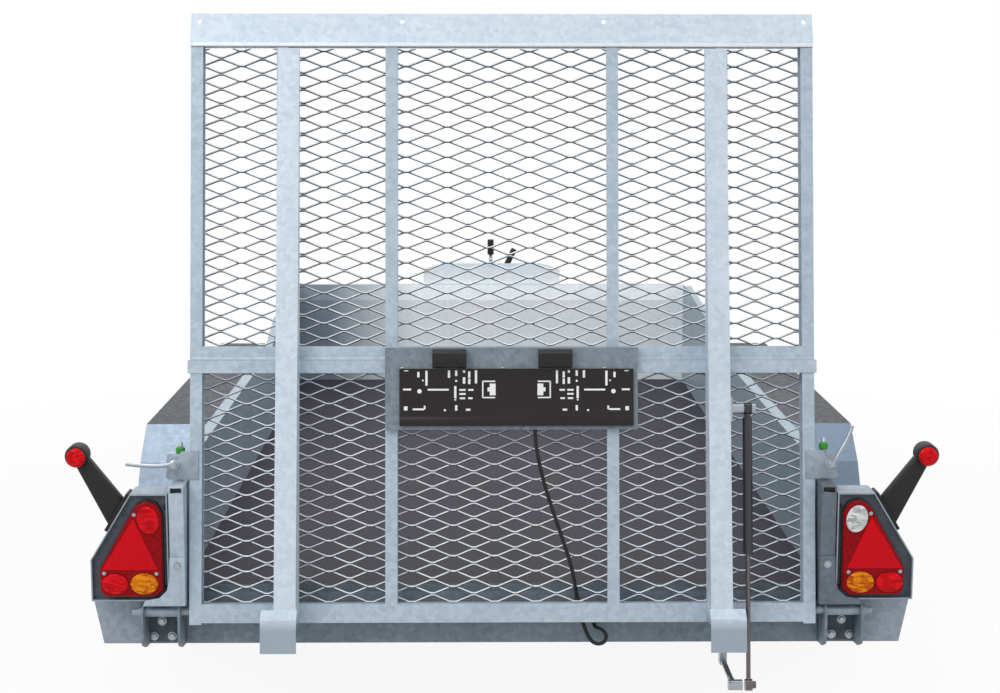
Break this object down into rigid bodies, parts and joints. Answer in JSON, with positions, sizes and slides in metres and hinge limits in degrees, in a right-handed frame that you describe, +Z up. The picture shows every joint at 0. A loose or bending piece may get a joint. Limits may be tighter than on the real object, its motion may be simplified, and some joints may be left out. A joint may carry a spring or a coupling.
{
  "type": "equipment trailer",
  "caption": "Galvanised plant trailer with a flat bed, low side walls, twin axles, an expanded-metal loading ramp, a jockey wheel and an overrun ball coupling.",
  "frame": {"origin": "on the ground, midway between the sides and midway between the ramp's feet and the coupling's nose", "axes": "+Y forwards along the drawbar, +X to the trailer's right side, +Z up"},
  "size_m": [1.9338, 4.3466, 1.6747],
  "materials": {
    "galvanised": "hot-dip galvanised, matt spangle",
    "zinc_plated": "zinc plated",
    "deck_board": "phenolic film faced, wire pattern",
    "black_rubber": "moulded",
    "black_plastic": "moulded",
    "black_enamel": "gloss enamel",
    "red_lens": "moulded clear lens",
    "tyre": "moulded",
    "wheel_silver": "silver wheel paint"
  },
  "bodies": {
    "trailer": {"axle_front": "galvanised", "axle_rear": "galvanised", "bucket_rest": "galvanised", "cable_lower": "black_rubber", "chassis_rails": "galvanised", "coupling_head": "zinc_plated", "crossmembers": "galvanised", "drawbar_beams": "galvanised", "drawbar_shaft": "zinc_plated", "floor": "deck_board", "front_crossmember": "galvanised", "gaiter": "black_rubber", "gussets": "galvanised", "headboard": "galvanised", "hinge_brackets": "galvanised", "jockey_clamp": "galvanised", "jockey_tube": "zinc_plated", "lamp_clusters": "red_lens", "light_boxes": "galvanised", "mudguards": "galvanised", "overrun_housing": "galvanised", "rear_crossmember": "galvanised", "rear_posts": "galvanised", "side_walls": "galvanised", "stalk_lamps": "black_rubber", "strut_anchor": "zinc_plated"},
    "ramp": {"ramp_frame": "galvanised", "ramp_beams": "galvanised", "toe_plate": "galvanised", "ramp_mesh": "galvanised", "plate_board": "galvanised", "plate_holder": "black_plastic", "plate_lamps": "black_plastic", "latches": "zinc_plated", "strut_clevis": "zinc_plated", "cable_upper": "black_rubber"},
    "strut_cylinder": {"strut_cylinder": "black_enamel"},
    "strut_rod": {"strut_rod": "zinc_plated"},
    "brake_lever": {"brake_lever": "zinc_plated"},
    "jockey_leg": {"jockey_leg": "zinc_plated"},
    "jockey_fork": {"jockey_fork": "zinc_plated"},
    "jockey_wheel": {"jockey_wheel": "black_rubber"},
    "wheel_rear_left": {"tyre_rear_left": "tyre", "wheel_rear_left": "wheel_silver"},
    "wheel_rear_right": {"tyre_rear_right": "tyre", "wheel_rear_right": "wheel_silver"},
    "wheel_front_left": {"tyre_front_left": "tyre", "wheel_front_left": "wheel_silver"},
    "wheel_front_right": {"tyre_front_right": "tyre", "wheel_front_right": "wheel_silver"}
  },
  "joints": [
    {"name": "ramp_hinge", "type": "hinge", "parent": "trailer", "child": "ramp", "pos_m": [0, -2.03965, 0.353], "axis": [1, 0, 0], "range_deg": [0, 115]},
    {"name": "strut_turn", "type": "hinge", "parent": "ramp", "child": "strut_cylinder", "pos_m": [0.543, -2.00548, 0.80595], "axis": [1, 0, 0], "range_deg": [-14.01, 0]},
    {"name": "strut_slide", "type": "slide", "parent": "strut_cylinder", "child": "strut_rod", "axis": [0, 0.1702, 0.9854], "range_m": [0, 0.2588]},
    {"name": "wheel_rear_left_spin", "type": "hinge", "parent": "trailer", "child": "wheel_rear_left", "pos_m": [-0.806, -1.06465, 0.261], "axis": [1, 0, 0], "continuous": true},
    {"name": "wheel_rear_right_spin", "type": "hinge", "parent": "trailer", "child": "wheel_rear_right", "pos_m": [0.806, -1.06465, 0.261], "axis": [1, 0, 0], "continuous": true},
    {"name": "wheel_front_left_spin", "type": "hinge", "parent": "trailer", "child": "wheel_front_left", "pos_m": [-0.806, -0.39965, 0.261], "axis": [1, 0, 0], "continuous": true},
    {"name": "wheel_front_right_spin", "type": "hinge", "parent": "trailer", "child": "wheel_front_right", "pos_m": [0.806, -0.39965, 0.261], "axis": [1, 0, 0], "continuous": true},
    {"name": "jockey_height", "type": "slide", "parent": "trailer", "child": "jockey_leg", "axis": [0, 0, 1], "range_m": [0, 0.09]},
    {"name": "jockey_swivel", "type": "hinge", "parent": "jockey_leg", "child": "jockey_fork", "pos_m": [0, 1.12035, 0.212], "axis": [0, 0, 1], "continuous": true},
    {"name": "jockey_spin", "type": "hinge", "parent": "jockey_fork", "child": "jockey_wheel", "pos_m": [0, 1.07535, 0.1], "axis": [1, 0, 0], "continuous": true},
    {"name": "brake_lever_pull", "type": "hinge", "parent": "trailer", "child": "brake_lever", "pos_m": [0.062, 1.52035, 0.366], "axis": [1, 0, 0], "range_deg": [-78, 0]}
  ],
  "couplings": [
    {"joint": "strut_turn", "follows": "ramp_hinge", "ratio": -0.11749},
    {"joint": "strut_slide", "follows": "ramp_hinge", "m_per_rad": 0.12793}
  ]
}
